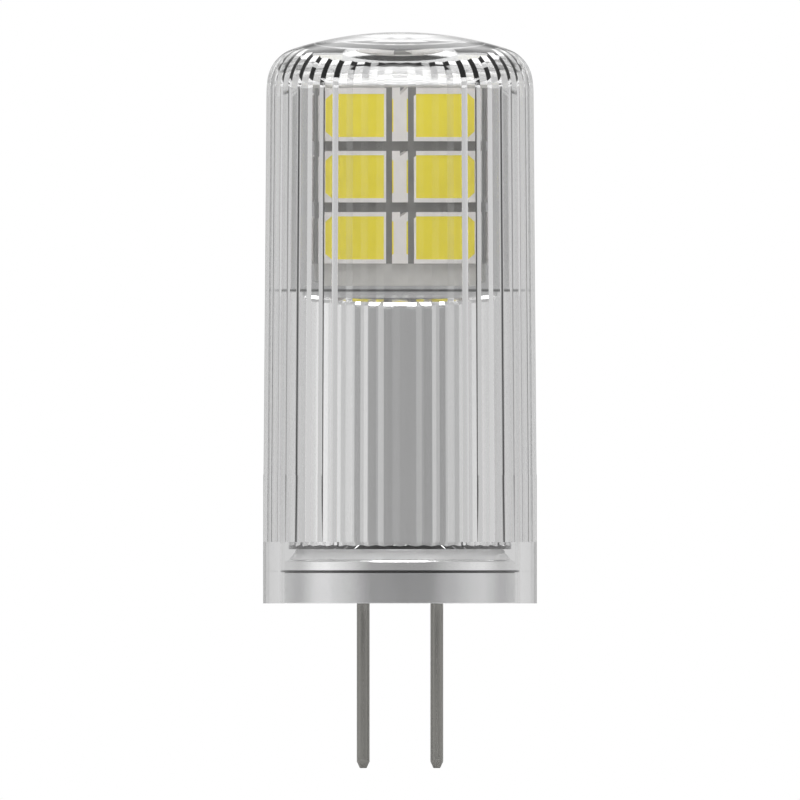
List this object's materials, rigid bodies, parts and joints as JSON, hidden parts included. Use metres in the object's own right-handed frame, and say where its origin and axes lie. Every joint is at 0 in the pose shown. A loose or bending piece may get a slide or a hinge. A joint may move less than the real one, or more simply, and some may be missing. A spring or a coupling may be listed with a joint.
{
  "type": "led capsule bulb",
  "caption": "Small two-pin lamp with a clear ribbed domed cover over a satin metal core that carries light packages on its two flat faces.",
  "frame": {"origin": "centre of the flat underside, where the two pins come out", "axes": "+Z along the lamp from the underside to the dome; +X across the two pins; -Y is the way one light face looks"},
  "size_m": [0.0148, 0.0148, 0.04],
  "materials": {
    "cover": "clear polycarbonate, polished",
    "core": "satin",
    "gasket": "matt black insulating ring",
    "base_plug": "satin silver-grey",
    "pin": "drawn wire, satin",
    "light_board": "grey-white solder mask",
    "thermal_tape": "matt white",
    "light_package": "white moulded",
    "phosphor": "yellow silicone fill",
    "driver_board": "green laminate",
    "rectifier": "black moulded",
    "driver_chip": "black moulded",
    "choke_core": "dark ferrite",
    "choke_winding": "enamelled copper wire",
    "capacitor": "tan ceramic",
    "diode": "black moulded",
    "sense_resistor": "black glazed ceramic",
    "lead": "tinned wire"
  },
  "bodies": {
    "root": {"base_plug": "base_plug", "choke_core": "choke_core", "choke_winding": "choke_winding", "core": "core", "cover": "cover", "diode": "diode", "driver_board": "driver_board", "driver_chip": "driver_chip", "gasket": "gasket", "input_capacitor": "capacitor", "lead_back_left": "lead", "lead_back_right": "lead", "lead_front_left": "lead", "lead_front_right": "lead", "light_board_back": "light_board", "light_board_front": "light_board", "light_package_back_1": "light_package", "light_package_back_2": "light_package", "light_package_back_3": "light_package", "light_package_back_4": "light_package", "light_package_back_5": "light_package", "light_package_back_6": "light_package", "light_package_front_1": "light_package", "light_package_front_2": "light_package", "light_package_front_3": "light_package", "light_package_front_4": "light_package", "light_package_front_5": "light_package", "light_package_front_6": "light_package", "output_capacitor": "capacitor", "phosphor_back_1": "phosphor", "phosphor_back_2": "phosphor", "phosphor_back_3": "phosphor", "phosphor_back_4": "phosphor", "phosphor_back_5": "phosphor", "phosphor_back_6": "phosphor", "phosphor_front_1": "phosphor", "phosphor_front_2": "phosphor", "phosphor_front_3": "phosphor", "phosphor_front_4": "phosphor", "phosphor_front_5": "phosphor", "phosphor_front_6": "phosphor", "pin_left": "pin", "pin_right": "pin", "rectifier": "rectifier", "sense_resistor": "sense_resistor", "thermal_tape_back": "thermal_tape", "thermal_tape_front": "thermal_tape"}
  },
  "joints": []
}
